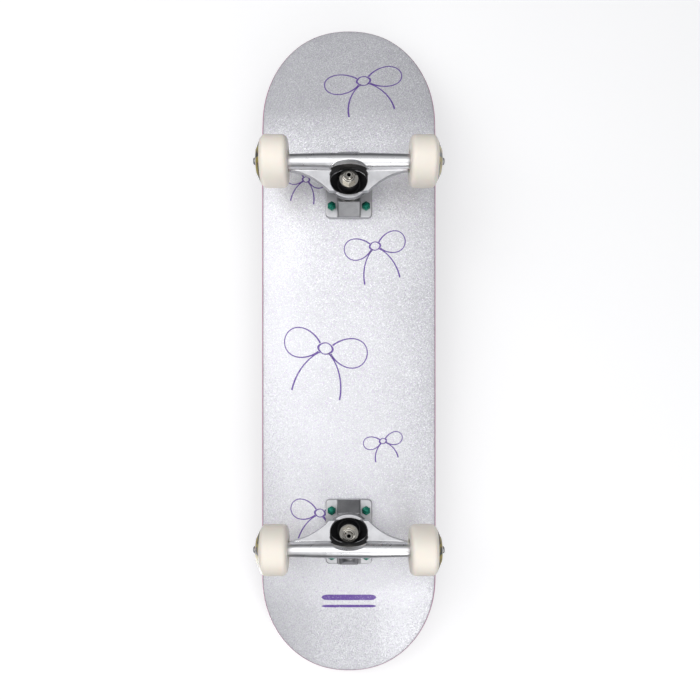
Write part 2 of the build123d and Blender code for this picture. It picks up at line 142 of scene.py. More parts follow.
# ---------------------------------------------------------------- settings a user would change
def colour(name, description, default):
    """A colour property."""
    return bpy.props.FloatVectorProperty(
        name=name, description=description, default=default, subtype="COLOR", size=3, min=0, max=1)


def length(name, description, default):
    """A length property, in metres."""
    return bpy.props.FloatProperty(
        name=name, description=description, default=default, unit="LENGTH", subtype="DISTANCE")


class DeckSettings(bpy.types.PropertyGroup):
    """Shape and colours of the deck, its artwork and its grip tape."""

    flat_half: length("Flat strip", "Half the level strip along the middle", 30.0 * MM)
    concave_radius: length("Concave radius", "Radius of the rising sides", 320.0 * MM)
    kick_radius: length("Kick radius", "Radius of the bends at nose and tail", 150.0 * MM)
    kick_angle: bpy.props.FloatProperty(
        name="Kick angle", description="Slope of nose and tail", default=radians(20),
        subtype="ANGLE", unit="ROTATION")
    nose_flat: length("Nose flat", "Level deck between the front bolts and the nose bend", 22.0 * MM)
    tail_flat: length("Tail flat", "Level deck between the rear bolts and the tail bend", 19.0 * MM)
    nose_taper: length("Nose taper", "Length over which the nose rounds off", 128.0 * MM)
    tail_taper: length("Tail taper", "Length over which the tail rounds off", 124.0 * MM)
    bluntness: bpy.props.FloatProperty(
        name="Bluntness", description="Exponent of the outline at nose and tail", default=2.1)
    edge_round: length("Edge rounding", "Radius of the deck's edges", 3.0 * MM)
    flake_size: length("Flake size", "Width of one sparkle flake", 0.8 * MM)
    silver: colour("Silver", "Body of the sparkle lacquer", (0.68, 0.685, 0.715))
    flake: colour("Flake", "Brightest sparkle flakes", (0.97, 0.97, 1.0))
    ink: colour("Ink", "Ribbon drawings", (0.135, 0.065, 0.33))
    maple: colour("Maple", "Plain plies at the edge", (0.70, 0.50, 0.31))
    rose: colour("Rose ply", "Dyed plies at the edge", (0.86, 0.33, 0.58))
    deep: colour("Deep rose", "Lacquered rim of the outermost ply", (0.42, 0.17, 0.34))
    grit: colour("Grit", "Grip tape", (0.012, 0.012, 0.013))


class TruckSettings(bpy.types.PropertyGroup):
    """Finish of the trucks and their hardware."""

    voxel: length("Casting detail", "Smallest detail kept when castings are softened", 0.5 * MM)
    barrel_radius: length("Barrel radius", "Radius of the axle barrel at the middle", 9.4 * MM)
    pocket_floor: length("Pocket floor", "Board washer to the floor of the bushing pocket", 17.75 * MM)
    pocket_depth: length("Pocket depth", "From that floor to the rim", 8.0 * MM)
    pocket_foot: length("Pocket foot", "Radius of the pocket at its floor", 13.6 * MM)
    pocket_half_width: length("Pocket half width", "Across the board at the rim", 21.4 * MM)
    pocket_inner: length("Pocket inner reach", "Away from the axle at the rim", 16.6 * MM)
    pocket_outer: length("Pocket outer reach", "Towards the axle at the rim", 13.2 * MM)
    ring_step: length("Ring step", "Pocket floor to the step round the ring", 4.8 * MM)
    pad_thickness: length("Pad thickness", "Thickness of the base plates' pads", 6.5 * MM)
    block_half: length("Block half width", "Half the width of the kingpin block", 13.0 * MM)
    nut_flats: length("Nut flats", "Across the flats of the mounting nuts", 9.5 * MM)
    nut_height: length("Nut height", "Hexagon of the mounting nuts", 4.0 * MM)
    nut_collar: length("Nut collar", "Radius of the mounting nuts' locking collar", 4.1 * MM)
    bolt_radius: length("Bolt radius", "Radius of the mounting bolts' shanks", 2.4 * MM)
    bolt_head: length("Bolt head", "Height of the countersunk heads", 2.7 * MM)
    bolt_length: length("Bolt length", "Length of the mounting bolts", 25.4 * MM)
    nut_lock: length("Nut lock", "Height of the mounting nuts' locking collar", 1.8 * MM)
    washer_half: length("Washer half", "Half the thickness of the kingpin's washers", 0.75 * MM)
    board_bushing: length("Board bushing", "Height of the bushing on the board side", 12.0 * MM)
    road_bushing: length("Road bushing", "Height of the bushing on the road side", 11.0 * MM)
    bushing_radius: length("Bushing radius", "Radius of the bushings at the hanger", 12.2 * MM)
    bushing_head: length("Bushing head", "Radius of the road bushing's narrow end", 10.7 * MM)
    bushing_bore: length("Bushing bore", "Radius of the hole through the bushings", 5.0 * MM)
    kingpin_flats: length("Kingpin nut flats", "Across the flats of the kingpin nut", 14.3 * MM)
    kingpin_nut_height: length("Kingpin nut height", "Hexagon of the kingpin nut", 5.4 * MM)
    kingpin_lock: length("Kingpin nut lock", "Height of its locking collar", 1.6 * MM)
    kingpin_radius: length("Kingpin radius", "Radius of the kingpin", 4.75 * MM)
    casting: colour("Casting", "Tumbled aluminium", (0.60, 0.60, 0.615))
    barrel: colour("Barrel", "Polished aluminium of the axle barrel", (0.86, 0.86, 0.87))
    nickel: colour("Nickel", "Kingpin, its nut and washers", (0.47, 0.45, 0.41))
    zinc: colour("Zinc", "Axles and axle nuts", (0.42, 0.42, 0.44))
    green: colour("Green", "Mounting hardware", (0.002, 0.17, 0.115))
    urethane: colour("Bushing", "Bushings and pivot cups", (0.008, 0.008, 0.009))


class WheelSettings(bpy.types.PropertyGroup):
    """Finish of the wheels and bearings."""

    cream: colour("Cream", "Wheel urethane", (1.0, 0.925, 0.825))
    print_colour: colour("Print", "Printed ring on the wheel's face", (0.40, 0.31, 0.03))
    print_dark: colour("Print shadow", "Dark patches of the printed ring", (0.010, 0.010, 0.008))
    radius: length("Wheel radius", "Radius of the tread", 29.0 * MM)
    width: length("Wheel width", "Across the hub faces", 36.0 * MM)
    tread: length("Tread end", "Middle of the wheel to the outer end of the tread", 9.0 * MM)
    lip: length("Lip", "Middle of the wheel to the lip where the outer cone ends", 12.6 * MM)
    lip_radius: length("Lip radius", "Radius of the lip", 25.0 * MM)
    hub: length("Hub radius", "Outer radius of the flat hub rim", 13.5 * MM)
    mouth: length("Mouth radius", "Radius of the mouth of the bearing seat", 12.2 * MM)
    seat: length("Bearing seat", "Radius of the bearing seats", 11.0 * MM)
    stop: length("Bearing stop", "Radius of the stop between the bearings", 9.6 * MM)
    gap: length("Bearing gap", "Between the two bearings", 10.0 * MM)
    bearing_width: length("Bearing width", "Width of one bearing", 7.0 * MM)
    nut_flats: length("Axle nut flats", "Across the flats of the axle nuts", 12.7 * MM)
    nut_height: length("Axle nut height", "Hexagon of the axle nuts", 4.6 * MM)
    nut_collar: length("Axle nut collar", "Radius of the axle nuts' locking collar", 5.8 * MM)
    nut_lock: length("Axle nut lock", "Height of the axle nuts' locking collar", 1.9 * MM)
    axle_radius: length("Axle radius", "Radius of the axle's threads", 4.0 * MM)
    print_inner: length("Print inner radius", "Inner edge of the printed ring", 14.6 * MM)
    print_outer: length("Print outer radius", "Outer edge of the printed ring", 24.2 * MM)
    steel: colour("Steel", "Bearing races and balls", (0.58, 0.58, 0.60))
    shield: colour("Shield", "Bearing shields", (0.02, 0.02, 0.022))


class StageSettings(bpy.types.PropertyGroup):
    """Camera, light and background."""

    distance: length("Camera distance", "From the underside of the deck to the camera", 0.850)
    camera_y: length("Camera place", "Where along the board the camera stands", -0.0715)
    focal: bpy.props.FloatProperty(
        name="Focal length", description="Lens in millimetres", default=36.1, unit="CAMERA")
    shift_x: bpy.props.FloatProperty(name="Shift X", description="Sideways framing", default=0.0016)
    shift_y: bpy.props.FloatProperty(name="Shift Y", description="Framing along the board",
                                     default=0.0786)
    paper: colour("Paper", "Floor and backdrop", (0.93, 0.93, 0.935))
    shade_share: bpy.props.FloatProperty(
        name="Shadow share", description="How much of the paper's light shadows can take", default=0.66)
    glow: bpy.props.FloatProperty(name="Glow", description="Light the paper gives by itself",
                                  default=0.50)
    floor_glow: bpy.props.FloatProperty(name="Floor glow", description="Light the floor gives by itself",
                                        default=0.12)


GROUPS = {"deck": DeckSettings, "truck": TruckSettings, "wheel": WheelSettings, "stage": StageSettings}


def settings(group):
    """One group of the scene's skateboard settings."""
    return getattr(bpy.context.scene, f"skate_{group}")


def toned(tint, factor=1.0):
    """A colour made darker or lighter, never past white."""
    return tuple(min(channel * factor, 1) for channel in tint)


# ---------------------------------------------------------------- shader expressions
class Wire:
    """A node's output that Python operators combine through Math nodes."""

    def __init__(self, paint, socket):
        self.paint = paint
        self.socket = socket

    def math(self, operation, *others):
        """A Math node with this as its first value."""
        return self.paint.node("ShaderNodeMath", {"operation": operation}, [self, *others])

    def __add__(self, other):
        return self.math("ADD", other)

    __radd__ = __add__

    def __mul__(self, other):
        return self.math("MULTIPLY", other)

    __rmul__ = __mul__

    def __sub__(self, other):
        return self.math("SUBTRACT", other)

    def __rsub__(self, other):
        return self.paint.node("ShaderNodeMath", {"operation": "SUBTRACT"}, [other, self])

    def __abs__(self):
        return self.math("ABSOLUTE")

    def over(self, level):
        """One where this is above a level, else nought."""
        return self.math("GREATER_THAN", level)

    def ramp(self, low, high, start=0.0, end=1.0):
        """A smooth step from start to end as this goes from low to high."""
        return self.paint.node(
            "ShaderNodeMapRange", {"interpolation_type": "SMOOTHSTEP"}, [self, low, high, start, end])


class Paint:
    """A material and the one way its nodes are made."""

    def __init__(self, name):
        self.material = bpy.data.materials.new(name)
        self.material.use_nodes = True
        self.tree = self.material.node_tree
        self.tree.nodes.clear()

    @classmethod
    def of(cls, tree):
        """The same methods on a node tree that isn't a material's."""
        paint = cls.__new__(cls)
        paint.tree = tree
        tree.nodes.clear()
        return paint

    def node(self, kind, set_first=None, sockets=None, out=0):
        """Make a node: its settings, then its sockets' values or links, and return an output."""
        made = self.tree.nodes.new(kind)
        for name, value in (set_first or {}).items():
            if name == "stops":
                ramp = made.color_ramp
                for place, stop in enumerate(value):
                    spot = ramp.elements[place] if place < 2 else ramp.elements.new(stop[0])
                    spot.position = stop[0]
                    spot.color = (*stop[1], 1)
            else:
                setattr(made, name, value)
        given = sockets if isinstance(sockets, dict) else dict(enumerate(sockets or []))
        for key, value in given.items():
            socket = made.inputs[key]
            if isinstance(value, Wire):
                self.tree.links.new(value.socket, socket)
            elif socket.type == "RGBA":
                socket.default_value = (*value, 1)
            else:
                socket.default_value = value
        return Wire(self, made.outputs[out])

    def place(self):
        """Position in the object's own frame, in millimetres."""
        return self.scaled(self.node("ShaderNodeTexCoord", out="Object"), 1 / MM)

    def vector(self, operation, *inputs):
        """A Vector Math node."""
        return self.node("ShaderNodeVectorMath", {"operation": operation}, inputs)

    def scaled(self, spot, factor):
        """A vector scaled evenly."""
        return self.node("ShaderNodeVectorMath", {"operation": "SCALE"}, {0: spot, "Scale": factor})

    def stretch(self, spot, factors):
        """A position scaled by a different factor along each axis."""
        return self.vector("MULTIPLY", spot, factors)

    def noise(self, spot, scale, detail=3.0, roughness=0.55):
        """Soft noise, about 0.5 on average."""
        return self.node("ShaderNodeTexNoise", None,
                         {"Vector": spot, "Scale": scale, "Detail": detail, "Roughness": roughness})

    def cells(self, spot, scale, out="Color"):
        """Random cells: a colour for each, or the distance to the nearest middle."""
        return self.node("ShaderNodeTexVoronoi", None, {"Vector": spot, "Scale": scale}, out)

    def mix(self, factor, low, high):
        """A colour between two others."""
        return self.node("ShaderNodeMix", {"data_type": "RGBA"}, {0: factor, 6: low, 7: high}, 2)

    def attribute(self, name, out="Fac"):
        """A value stored on the mesh."""
        return self.node("ShaderNodeAttribute", {"attribute_name": name}, None, out)

    def split(self, vector, axis):
        """One coordinate of a vector."""
        return self.node("ShaderNodeSeparateXYZ", None, [vector], axis)

    def bump(self, height, distance):
        """A normal bent by a height, whose full step is distance metres."""
        return self.node("ShaderNodeBump", None, {"Height": height, "Distance": distance, "Strength": 1.0})

    def finish(self, shader, kind="ShaderNodeOutputMaterial"):
        """Send a shader to the tree's output."""
        final = self.tree.nodes.new(kind)
        self.tree.links.new(shader.socket, final.inputs["Surface"])

    def shade(self, **sockets):
        """Finish with a Principled shader; names use _ for the spaces in the sockets' names."""
        named = {name.replace("_", " "): value for name, value in sockets.items()}
        self.finish(self.node("ShaderNodeBsdfPrincipled", None, named))
        return self.material


# ---------------------------------------------------------------- mesh helpers
def add_object(name, mesh, materials=(), sharp=35):
    """Link a mesh as a new object, smooth but for edges sharper than an angle in degrees."""
    obj = bpy.data.objects.new(name, mesh)
    bpy.context.scene.collection.objects.link(obj)
    for material in materials:
        mesh.materials.append(material)
    mesh.shade_smooth()
    mesh.set_sharp_from_angle(angle=radians(sharp))
    return obj


def raw_mesh(name, vertices, faces):
    """A mesh of points and faces as they are given."""
    mesh = bpy.data.meshes.new(name)
    mesh.from_pydata([tuple(v) for v in vertices], [], faces)
    return mesh


def opened(mesh):
    """A mesh's points and faces, ready to be worked on."""
    work = bmesh.new()
    work.from_mesh(mesh)
    return work


def closed(work, mesh):
    """Write worked points and faces back to a mesh."""
    work.to_mesh(mesh)
    work.free()
    return mesh


def cleaned(work, mesh, gap=WELD):
    """Weld doubled points, drop faces with no area, turn the rest outwards and write the mesh."""
    bmesh.ops.remove_doubles(work, verts=work.verts, dist=gap)
    bmesh.ops.dissolve_degenerate(work, edges=work.edges, dist=WELD / 10)
    bmesh.ops.recalc_face_normals(work, faces=work.faces)
    return closed(work, mesh)


def along(axis):
    """A rotation that takes +Z to a direction, keeping X level where it can."""
    z = Vector(axis).normalized()
    x = Vector((1, 0, 0)) if abs(z.x) < 0.9 else Vector((0, 0, 1))
    y = z.cross(x).normalized()
    x = y.cross(z)
    return Matrix((x, y, z)).transposed()


def softened(points, radius=0.35 * MM):
    """A closed profile with each corner rounded by its third number, or by a shared radius."""
    count = len(points)
    result = []
    for k, point in enumerate(points):
        here = Vector(point[:2])
        before = Vector(points[k - 1][:2]) - here
        after = Vector(points[(k + 1) % count][:2]) - here
        wanted = point[2] if len(point) > 2 else radius
        share = 0.8 if wanted > 5 * MM else 0.45
        reach = min(wanted, before.length * share, after.length * share)
        steps = 10 if wanted > 2 * MM else 4
        start = here + before.normalized() * reach
        end = here + after.normalized() * reach
        for step in range(steps + 1):
            t = step / steps
            curve = start * (1 - t) ** 2 + here * (2 * t * (1 - t)) + end * t ** 2
            result.append(tuple(curve))
    return result


def turned(profile, origin, axis, segments=96, limit=None):
    """Vertices and faces of a closed (radius, height) profile turned about a line."""
    turn = along(axis)
    vertices, faces = [], []
    rows = len(profile)
    for step in range(segments):
        angle = 2 * pi * step / segments
        for radius, height in profile:
            reach = min(radius, limit(angle)) if limit else radius
            spot = turn @ Vector((reach * cos(angle), reach * sin(angle), height))
            vertices.append(Vector(origin) + spot)
    for step in range(segments):
        after = (step + 1) % segments
        for row in range(rows):
            below = (row + 1) % rows
            faces.append((step * rows + row, step * rows + below,
                          after * rows + below, after * rows + row))
    return vertices, faces


def lathe(name, profile, origin, axis, materials, segments=96, soft=0.35 * MM, limit=None):
    """A turned piece as an object."""
    shape = softened(profile, soft) if soft else profile
    mesh = raw_mesh(name, *turned(shape, origin, axis, segments, limit))
    return add_object(name, cleaned(opened(mesh), mesh), materials)


def hexagon(flats):
    """The reach of a hexagon at an angle."""
    def reach(angle):
        return flats / 2 / cos((angle + pi / 6) % (pi / 3) - pi / 6)
    return reach


def nut_profile(flats, height, collar_radius, collar_height, bore, chamfer=0.54 * MM, steps=4):
    """The profile of a hexagon nut, chamfered at both ends, with a round locking collar."""
    corner = flats / 2 / cos(pi / 6) + 0.05 * MM
    flat = flats / 2 * 0.985
    below = [(flat + (corner - flat) * k / steps, chamfer * k / steps) for k in range(steps + 1)]
    above = [(reach, height - level) for reach, level in reversed(below)]
    collar = [(collar_radius, height + 0.02 * MM), (collar_radius, height + collar_height * 0.55),
              (collar_radius - 0.22 * collar_height, height + collar_height * 0.85),
              (collar_radius - 0.6 * collar_height, height + collar_height)]
    return [(bore, 0), *below, *above, *collar, (bore, height + collar_height)]


def lock_nut(name, node, axis, sizes, bore, material):
    """A locking nut centred on its CAD node, its collar on the far side along an axis."""
    flats, height, collar_radius, collar_height = sizes
    profile = nut_profile(flats, height, collar_radius, collar_height, bore)
    start = middle(node) - axis * (height + collar_height) / 2
    return lathe(name, profile, start, axis, (material,), 120, 0.2 * MM, hexagon(flats))


def join(name, parts, materials, sharp=35):
    """One object from several (vertices, faces, material number) parts."""
    mesh = bpy.data.meshes.new(name)
    work = bmesh.new()
    for vertices, faces, number in parts:
        made = [work.verts.new(v) for v in vertices]
        for face in faces:
            corners = [made[k] for k in dict.fromkeys(face)]
            if len(corners) > 2:
                work.faces.new(corners).material_index = number
    return add_object(name, cleaned(work, mesh), materials, sharp)


def apply_modifiers(obj):
    """Give an object the mesh that its modifiers make."""
    graph = bpy.context.evaluated_depsgraph_get()
    final = bpy.data.meshes.new_from_object(obj.evaluated_get(graph))
    obj.modifiers.clear()
    obj.data = final
    return final


def carve(obj, parts):
    """Cut closed shapes out of an object."""
    cutter = join("cutter", parts, ())
    cut = obj.modifiers.new("recess", "BOOLEAN")
    cut.operation = "DIFFERENCE"
    cut.solver = "EXACT"
    cut.use_self = True
    cut.object = cutter
    final = apply_modifiers(obj)
    bpy.data.objects.remove(cutter)
    final.shade_smooth()
    final.set_sharp_from_angle(angle=radians(35))


def store(obj, name, value_at):
    """Keep a number for each vertex on the mesh, for its material."""
    data = obj.data.attributes.new(name, "FLOAT", "POINT")
    data.data.foreach_set("value", [float(value_at(v.co)) for v in obj.data.vertices])


def repaint(node, material):
    """Give a CAD node a material."""
    mesh = frame["nodes"][node].data
    mesh.materials.clear()
    mesh.materials.append(material)
    mesh.shade_smooth()
    mesh.set_sharp_from_angle(angle=radians(30))


def seat_piece(obj, body, slot, *replaced):
    """Fasten a piece to its body and hide the CAD nodes that it stands for; the slot argument is not used.
    """
    if body:
        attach(obj, body)
    if replaced:
        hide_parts(*replaced)
    return obj


# ---------------------------------------------------------------- deck
def section_height(across, layer):
    """Height of a layer above the flat underside, at a distance from the middle."""
    deck = settings("deck")
    beyond = max(abs(across) - deck.flat_half, 0)
    return deck.concave_radius - sqrt((deck.concave_radius - layer) ** 2 - beyond ** 2)


def board_height(x, y, layer):
    """Height of a layer of the bent board over a point of the floor."""
    deck = settings("deck")
    lift = section_height(x, layer)
    run = max(y - (PATTERN["front"] + BOLT_Y + deck.nose_flat),
              (PATTERN["rear"] - BOLT_Y - deck.tail_flat) - y, 0)
    radius = deck.kick_radius - lift
    bend = radius * sin(deck.kick_angle)
    if run <= bend:
        return UNDERSIDE + deck.kick_radius - sqrt(radius ** 2 - run ** 2)
    level = UNDERSIDE + deck.kick_radius - radius * cos(deck.kick_angle)
    return level + (run - bend) * tan(deck.kick_angle)


def outline(inset, end_steps=72, side_steps=48):
    """Points round the board, inset from its edge, from the right side round the nose."""
    deck = settings("deck")
    wide = HALF_WIDTH - inset
    power = 2 / deck.bluntness
    points = []
    for tip, taper, outward in ((DECK_HIGH.y, deck.nose_taper, 1), (-DECK_LOW.y, deck.tail_taper, -1)):
        for k in range(end_steps + 1):
            angle = pi * k / end_steps
            hand = outward if k <= end_steps / 2 else -outward
            across = hand * wide * abs(cos(angle)) ** power
            reach = (taper - inset) * sin(angle) ** power if 0 < k < end_steps else 0
            points.append((across, outward * (tip - taper + reach)))
        start, stop = points[-1][1], -outward * ((-DECK_LOW.y - deck.tail_taper) if outward > 0
                                                 else (DECK_HIGH.y - deck.nose_taper))
        for k in range(1, side_steps):
            points.append((-outward * wide, start + (stop - start) * k / side_steps))
    return points


def shell_rings(profile, low_layer, high_layer, steps):
    """Rings of a board-shaped shell: in from the edge, round it by a profile, and in again."""
    deck = settings("deck")
    nose_spine = DECK_HIGH.y - deck.nose_taper
    tail_spine = DECK_LOW.y + deck.tail_taper

    def inward(layer, inset):
        rim = outline(inset)
        rings = []
        for k in range(steps, 0, -1):
            t = k / steps
            ring = []
            for x, y in rim:
                spine = min(max(y, tail_spine), nose_spine)
                px, py = x * (1 - t), y + (spine - y) * t
                ring.append((px, py, board_height(px, py, layer)))
            rings.append(ring)
        return rings

    rings = inward(low_layer, profile[0][0])
    for inset, layer in profile:
        rings.append([(x, y, board_height(x, y, layer)) for x, y in outline(inset)])
    return rings + inward(high_layer, profile[-1][0])[::-1]


def stitch(rings):
    """Vertices and faces between rings of equal length."""
    count = len(rings[0])
    vertices = [spot for ring in rings for spot in ring]
    faces = []
    for row in range(len(rings) - 1):
        for k in range(count):
            after = (k + 1) % count
            faces.append((row * count + k, row * count + after,
                          (row + 1) * count + after, (row + 1) * count + k))
    return vertices, faces


def lacquer_material():
    """Silver lacquer full of flakes, under a clear coat."""
    deck = settings("deck")
    paint = Paint("silver sparkle lacquer")
    spot = paint.place()
    per = MM / deck.flake_size
    flakes = paint.cells(spot, per)
    dust = paint.cells(spot, per * 2.3)
    bright = paint.split(flakes, "X")
    fine = paint.split(dust, "Y")
    # painted reflection: cloud makes broad soft patches of lighter and darker lacquer that stand in for
    # uneven reflection
    cloud = paint.noise(spot, 0.012, 2.0)
    level = 0.36 + 0.15 * bright + 0.12 * fine + 0.22 * cloud
    body = paint.mix(level, toned(deck.silver, 0.62), toned(deck.silver, 1.42))
    tinted = paint.mix(paint.split(flakes, "Z").over(0.90) * 0.45, body, (0.62, 0.45, 0.74))
    colour_now = paint.mix(bright.over(0.90) * 0.8, tinted, toned(deck.flake))
    tilt = paint.scaled(paint.vector("SUBTRACT", flakes, (0.5, 0.5, 0.5)), 0.36)
    facing = paint.node("ShaderNodeNewGeometry", out="Normal")
    normal = paint.vector("NORMALIZE", paint.vector("ADD", facing, tilt))
    return paint.shade(
        Base_Color=colour_now, Metallic=0.35, Roughness=0.30 + 0.25 * fine, Normal=normal,
        Coat_Weight=0.35, Coat_Roughness=0.12)


def plies_material():
    """The stack of plies that shows at the rounded edge."""
    deck = settings("deck")
    paint = Paint("maple ply edge")
    spot = paint.place()
    ply = paint.attribute("ply")
    fibres = paint.noise(paint.stretch(spot, (0.5, 0.05, 6.0)), 1.0, 4.0)
    maple, rose, deep = toned(deck.maple), toned(deck.rose), toned(deck.deep)
    stops = [(0.0, deep), (0.07, deep), (0.12, rose), (0.30, rose), (0.31, maple), (0.43, maple),
             (0.44, rose), (0.56, rose), (0.57, maple), (0.85, maple), (0.86, rose), (1.0, rose)]
    bands = paint.node("ShaderNodeValToRGB", {"stops": stops}, [ply])
    colour_now = paint.mix(fibres * 0.35, bands, (0.95, 0.78, 0.72))
    height = paint.noise(paint.stretch(spot, (1.0, 0.15, 8.0)), 1.0, 3.0)
    return paint.shade(Base_Color=colour_now, Roughness=0.45 + 0.2 * fibres, Coat_Weight=0.25,
                       Coat_Roughness=0.3, Normal=paint.bump(height, 0.08 * MM))


def grit_material():
    """Black grit glued to a sheet, with scattered glints and a little pale scuffing."""
    deck = settings("deck")
    paint = Paint("black grip grit")
    spot = paint.place()
    grains = paint.cells(spot, 1.5, "Distance")
    tint = paint.cells(spot, 1.5)
    glint = paint.split(tint, "X").over(0.94)
    scuff = paint.noise(spot, 0.02, 5.0).ramp(0.52, 0.72)
    worn = 0.25 * paint.split(tint, "Y") + 0.25 * scuff
    body = paint.mix(worn, toned(deck.grit), (0.075, 0.075, 0.078))
    colour_now = paint.mix(glint * 0.5, body, (0.32, 0.32, 0.34))
    fine = paint.noise(spot, 2.6, 3.0)
    height = (1 - grains) * 0.8 + fine * 0.5
    return paint.shade(Base_Color=colour_now, Roughness=0.92 - 0.45 * glint,
                       Normal=paint.bump(height, 0.5 * MM))


class SKATE_OT_deck(bpy.types.Operator):
    """Build the bent seven-ply deck with its sparkle underside"""

    bl_idname = "skate.deck"
    bl_label = "Deck"

    def execute(self, context):
        radius, thick = settings("deck").edge_round, PLY_STACK
        round_steps, wall_steps, spoke_steps, round_rings_in_lacquer = 6, 6, 20, 2
        lower_rim = []
        for k in range(round_steps + 1):
            angle = pi / 2 * k / round_steps
            lower_rim.append((radius * (1 - sin(angle)), radius * (1 - cos(angle))))
        rise = (thick - 2 * radius) / wall_steps
        wall = [(0, radius + rise * k) for k in range(1, wall_steps)]
        upper_rim = [(inset, thick - layer) for inset, layer in reversed(lower_rim)]
        profile = lower_rim + wall + upper_rim
        rings = shell_rings(profile, 0, thick, spoke_steps)
        layers = [0] * spoke_steps + [layer for _, layer in profile] + [thick] * spoke_steps
        mesh = raw_mesh("deck_body", *stitch(rings))
        ply = mesh.attributes.new("ply", "FLOAT", "POINT")
        ply.data.foreach_set("value", [layer / thick for layer in layers for _ in rings[0]])
        lacquered = (spoke_steps + round_rings_in_lacquer) * len(rings[0])
        for number, face in enumerate(mesh.polygons):
            face.material_index = 0 if number < lacquered else 1
        cleaned(opened(mesh), mesh, 2 * WELD)
        obj = add_object("deck_body", mesh, (lacquer_material(), plies_material()), sharp=60)
        seat_piece(obj, BOARD, "sparkle_deck", "deck")
        return {"FINISHED"}


class Bow:
    """One tied ribbon: its knot, half its span, its tilt and how plump and long it is."""

    def __init__(self, across, along, half_span, tilt, plump=0.6, drop=1.1):
        self.knot = Vector((across, along)) * MM
        self.half_span = half_span * MM
        self.tilt = radians(tilt)
        self.plump = plump
        self.drop = drop

    def spot(self, u, v):
        """A point of the floor from the bow's own place, in half spans, seen from below."""
        turned_u = u * cos(self.tilt) - v * sin(self.tilt)
        turned_v = u * sin(self.tilt) + v * cos(self.tilt)
        return self.knot + Vector((-turned_u, turned_v)) * self.half_span

    def loop(self, hand, steps=56):
        """A teardrop that leaves the knot's side high and comes back low."""
        for k in range(steps + 1):
            t = k / steps
            reach = (1 - cos(2 * pi * t)) / 2
            swell = sin(2 * pi * t) * sin(pi * t) ** 0.6
            rise = 0.60 * self.plump * swell + 0.10 * (1 - 2 * t) + 0.03 * reach
            yield self.spot(hand * (0.15 + 0.85 * reach), rise)

    def tail(self, hand, steps=30):
        """A ribbon end that leaves the knot sideways and bends to hang down."""
        for k in range(steps + 1):
            t = k / steps
            aside = hand * (0.08 + 0.50 * (1 - (1 - t) ** 1.9))
            yield self.spot(aside, -0.10 - (self.drop - 0.05) * t ** 1.25)

    def knot_ring(self, steps=32):
        """A plain rounded band round the knot."""
        for k in range(steps + 1):
            angle = 2 * pi * k / steps
            yield self.spot(0.175 * cos(angle), 0.135 * sin(angle) * (1 - 0.25 * cos(angle) ** 2))


# Bow(across, along, half span, tilt in degrees, plump, drop), in millimetres
BOWS = (
    Bow(-18.2, 331.3, 49, 12, 0.5, 0.92), Bow(51.9, 201.8, 24.5, -10), Bow(-31.6, 121.0, 37.5, 12),
    Bow(28.3, -3.1, 51, -12, 0.61, 1.08), Bow(-41.3, -115.1, 24, 12, 0.55, 0.92),
    Bow(35.0, -202.3, 36, -10, 0.58, 1.12),
)
# where each stripe lies along the board and how wide it is, in millimetres
STRIPES = ((-305.5, 7.0), (-317.0, 3.2))


def stroke(points, width_at, lift=0.09 * MM):
    """A strip of ink along points of the floor, draped on the underside of the board."""
    spots = list(points)
    vertices, faces = [], []
    for k, spot in enumerate(spots):
        run = spots[min(k + 1, len(spots) - 1)] - spots[max(k - 1, 0)]
        aside = Vector((-run.y, run.x)).normalized() * width_at(k / (len(spots) - 1)) / 2
        for place in (spot - aside, spot, spot + aside):
            vertices.append((place.x, place.y, board_height(place.x, place.y, 0) - lift))
    for k in range(len(spots) - 1):
        for part in range(2):
            corner = 3 * k + part
            faces.append((corner, corner + 1, corner + 4, corner + 3))
    return vertices, faces


def facing_down(mesh):
    """Turn every face of an ink mesh away from the board."""
    mesh.update()
    wrong = [face.index for face in mesh.polygons if face.normal.z > 0]
    work = opened(mesh)
    work.faces.ensure_lookup_table()
    bmesh.ops.reverse_faces(work, faces=[work.faces[index] for index in wrong])
    closed(work, mesh)


def lay_ink(name, strokes, ink):
    """One drawing from its strokes, fastened to the board."""
    vertices, faces = [], []
    for more_vertices, more_faces in strokes:
        start = len(vertices)
        vertices += more_vertices
        faces += [tuple(start + corner for corner in face) for face in more_faces]
    mesh = raw_mesh(name, vertices, faces)
    facing_down(mesh)
    seat_piece(add_object(name, mesh, (ink,)), BOARD, "sparkle_deck")


def bow_strokes(bow):
    """The knot, both loops and both tails of a bow, with lines that swell as a brush's do."""
    line = 0.85 * MM + 0.010 * bow.half_span
    yield stroke(bow.knot_ring(), lambda t: line * (0.9 + 1.0 * cos(2 * pi * t) ** 2))
    for hand in (-1, 1):
        yield stroke(bow.loop(hand), lambda t: line * (1 + 0.5 * abs(cos(pi * t)) ** 6))
        yield stroke(bow.tail(hand), lambda t: line * (0.95 + 0.55 * t))


def stripe_stroke(place, width, half=33.5, steps=40):
    """A straight stripe with rounded ends, in millimetres."""
    line = [Vector((half * MM * (2 * k / steps - 1), place * MM)) for k in range(steps + 1)]
    return stroke(line, lambda t: width * MM * (1 - abs(2 * t - 1) ** 16) + 0.2 * MM)


def ink_material():
    """Violet screen-printed ink with a little of the sparkle showing through."""
    deck = settings("deck")
    paint = Paint("violet ink")
    spot = paint.place()
    flakes = paint.cells(spot, 1.1)
    cloud = paint.noise(spot, 0.4, 3.0)
    body = paint.mix(cloud, toned(deck.ink, 0.9), toned(deck.ink, 1.25))
    colour_now = paint.mix(paint.split(flakes, "X").over(0.88) * 0.35, body, (0.55, 0.5, 0.72))
    return paint.shade(Base_Color=colour_now, Roughness=0.4 + 0.2 * cloud, Coat_Weight=0.2,
                       Normal=paint.bump(paint.noise(spot, 3.0), 0.01 * MM))


